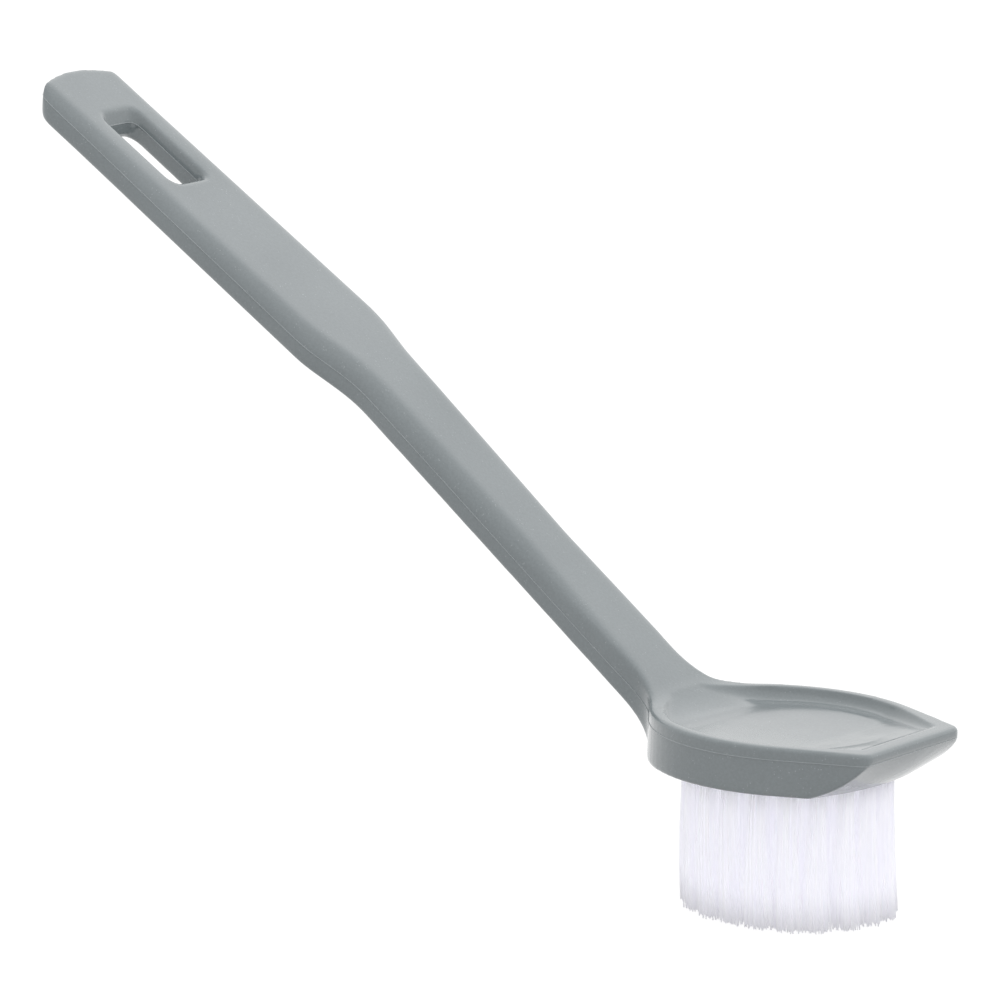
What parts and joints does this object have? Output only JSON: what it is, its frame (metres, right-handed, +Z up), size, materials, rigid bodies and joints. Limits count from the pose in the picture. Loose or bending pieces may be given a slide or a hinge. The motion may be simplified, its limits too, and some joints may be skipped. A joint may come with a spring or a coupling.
{
  "type": "dish brush",
  "caption": "Dish brush: slim angled plastic handle with a hanging slot, shield-shaped dished head with a scraper lip, round field of white bristle tufts.",
  "frame": {"origin": "centre of the plane of the bristle tips, on the axis of the round head", "axes": "+X towards the scraper lip, -X along the handle, +Y to the brush's left side seen from the handle's end, +Z up, away from the tips"},
  "size_m": [0.2081, 0.056, 0.1451],
  "materials": {
    "moulded_plastic": "satin",
    "bristle_nylon": "satin",
    "anchor_wire": "bright drawn wire"
  },
  "bodies": {
    "root": {"brush_body": "moulded_plastic", "tuft_centre": "bristle_nylon", "tuft_inner_1": "bristle_nylon", "tuft_inner_2": "bristle_nylon", "tuft_inner_3": "bristle_nylon", "tuft_inner_4": "bristle_nylon", "tuft_inner_5": "bristle_nylon", "tuft_inner_6": "bristle_nylon", "tuft_middle_1": "bristle_nylon", "tuft_middle_2": "bristle_nylon", "tuft_middle_3": "bristle_nylon", "tuft_middle_4": "bristle_nylon", "tuft_middle_5": "bristle_nylon", "tuft_middle_6": "bristle_nylon", "tuft_middle_7": "bristle_nylon", "tuft_middle_8": "bristle_nylon", "tuft_middle_9": "bristle_nylon", "tuft_middle_10": "bristle_nylon", "tuft_middle_11": "bristle_nylon", "tuft_middle_12": "bristle_nylon", "tuft_middle_13": "bristle_nylon", "tuft_outer_1": "bristle_nylon", "tuft_outer_2": "bristle_nylon", "tuft_outer_3": "bristle_nylon", "tuft_outer_4": "bristle_nylon", "tuft_outer_5": "bristle_nylon", "tuft_outer_6": "bristle_nylon", "tuft_outer_7": "bristle_nylon", "tuft_outer_8": "bristle_nylon", "tuft_outer_9": "bristle_nylon", "tuft_outer_10": "bristle_nylon", "tuft_outer_11": "bristle_nylon", "tuft_outer_12": "bristle_nylon", "tuft_outer_13": "bristle_nylon", "tuft_outer_14": "bristle_nylon", "tuft_outer_15": "bristle_nylon", "tuft_outer_16": "bristle_nylon", "tuft_outer_17": "bristle_nylon", "tuft_outer_18": "bristle_nylon", "tuft_outer_19": "bristle_nylon", "tuft_outer_20": "bristle_nylon", "tuft_anchors": "anchor_wire"}
  },
  "joints": []
}
